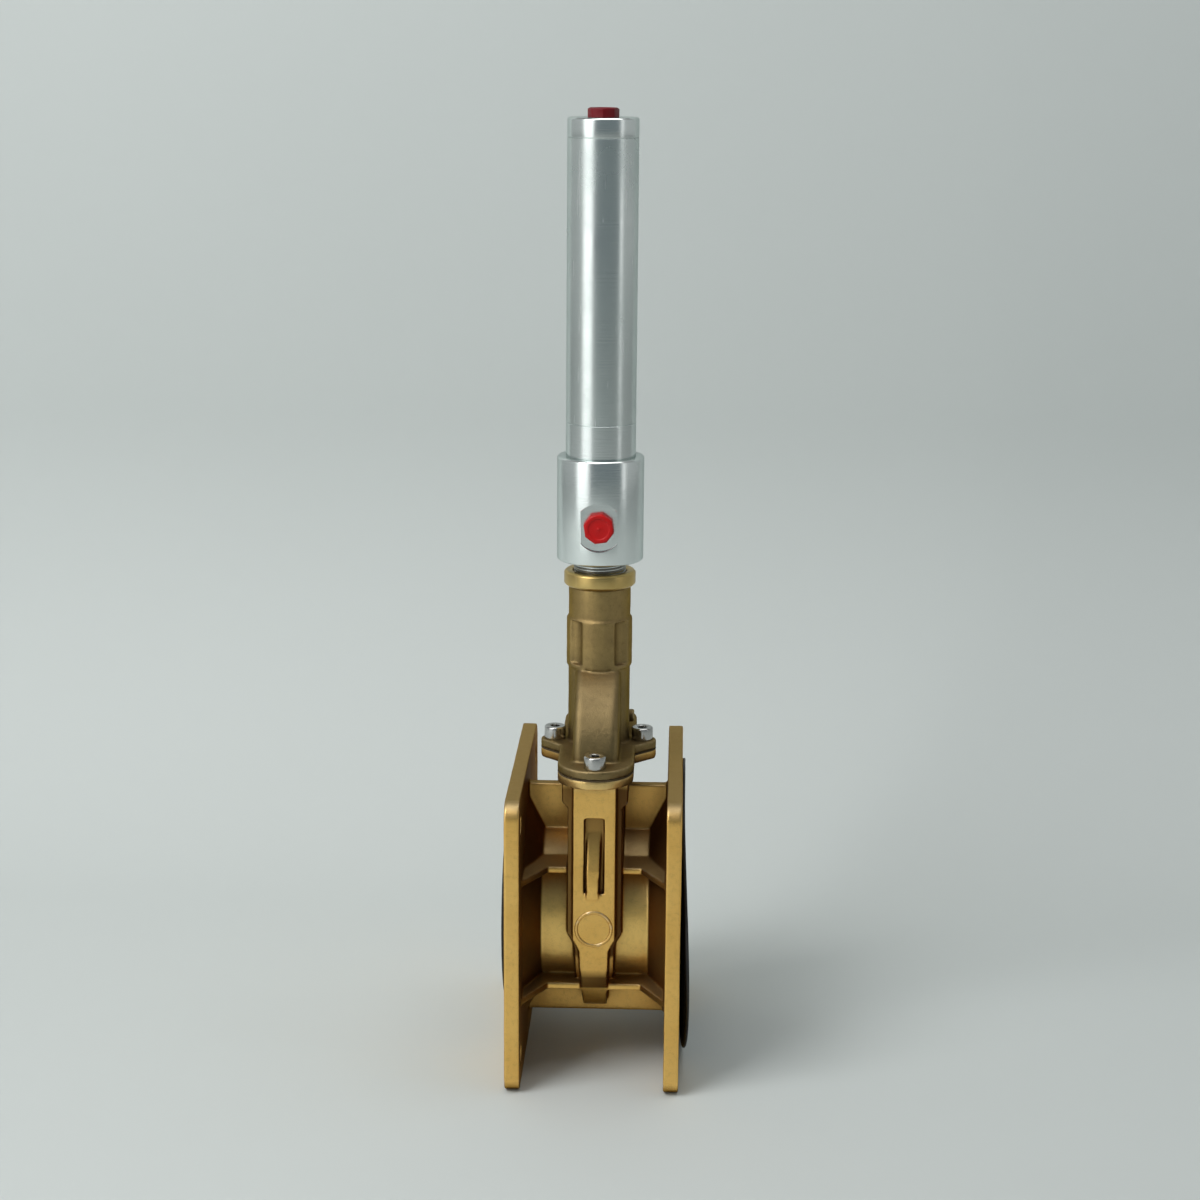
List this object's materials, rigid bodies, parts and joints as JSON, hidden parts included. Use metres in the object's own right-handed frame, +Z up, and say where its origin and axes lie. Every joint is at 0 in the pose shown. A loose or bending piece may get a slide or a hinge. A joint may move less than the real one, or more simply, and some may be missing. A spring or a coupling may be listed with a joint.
{
  "type": "hydraulic slide gate valve",
  "caption": "Slide gate valve with a square-flanged cast body, a domed bonnet and an upright hydraulic cylinder that lifts a round blade clear of the bore.",
  "frame": {"origin": "on the floor, under the middle of the bore, where the valve stands on its two flanges", "axes": "+X along the flow axis, -Y towards the nose of the casting and the side oil port, +Z up along the cylinder"},
  "size_m": [0.1228, 0.2, 0.636],
  "materials": {
    "cast_brass_body": "blasted, satin",
    "cast_bronze_bonnet": "dull as cast",
    "black_rubber": "matt",
    "dark_sealing_sheet": "matt",
    "plated_screw": "bright plated",
    "stainless_blade": "ground",
    "chromed_rod": "polished",
    "seal_polymer": "matt",
    "bronze_bush": "turned",
    "turned_aluminium": "fine turned",
    "machined_steel": "turned",
    "red_plastic": "semi gloss"
  },
  "bodies": {
    "valve": {"valve_body": "cast_brass_body", "bonnet": "cast_bronze_bonnet", "flange_gasket_left": "black_rubber", "flange_gasket_right": "black_rubber", "bonnet_gasket": "dark_sealing_sheet", "bonnet_screws": "plated_screw", "seat_seal_left": "seal_polymer", "seat_seal_right": "seal_polymer", "rod_packing": "seal_polymer", "rod_wiper": "seal_polymer", "rod_seal": "seal_polymer", "head_o_ring": "seal_polymer", "cap_o_ring": "seal_polymer", "rod_bush": "bronze_bush", "cylinder_head": "turned_aluminium", "lock_ring": "turned_aluminium", "cylinder_tube": "turned_aluminium", "cylinder_cap": "turned_aluminium", "side_port_plug": "red_plastic", "top_port_plug": "red_plastic"},
    "gate": {"gate_blade": "stainless_blade", "blade_clevis": "stainless_blade", "clevis_pin": "stainless_blade", "piston_rod": "chromed_rod", "piston": "machined_steel", "piston_guide_ring": "seal_polymer", "piston_seal": "seal_polymer", "piston_nut": "machined_steel"}
  },
  "joints": [
    {"name": "gate_slide", "type": "slide", "parent": "valve", "child": "gate", "axis": [0, 0, 1], "range_m": [0, 0.112]}
  ]
}
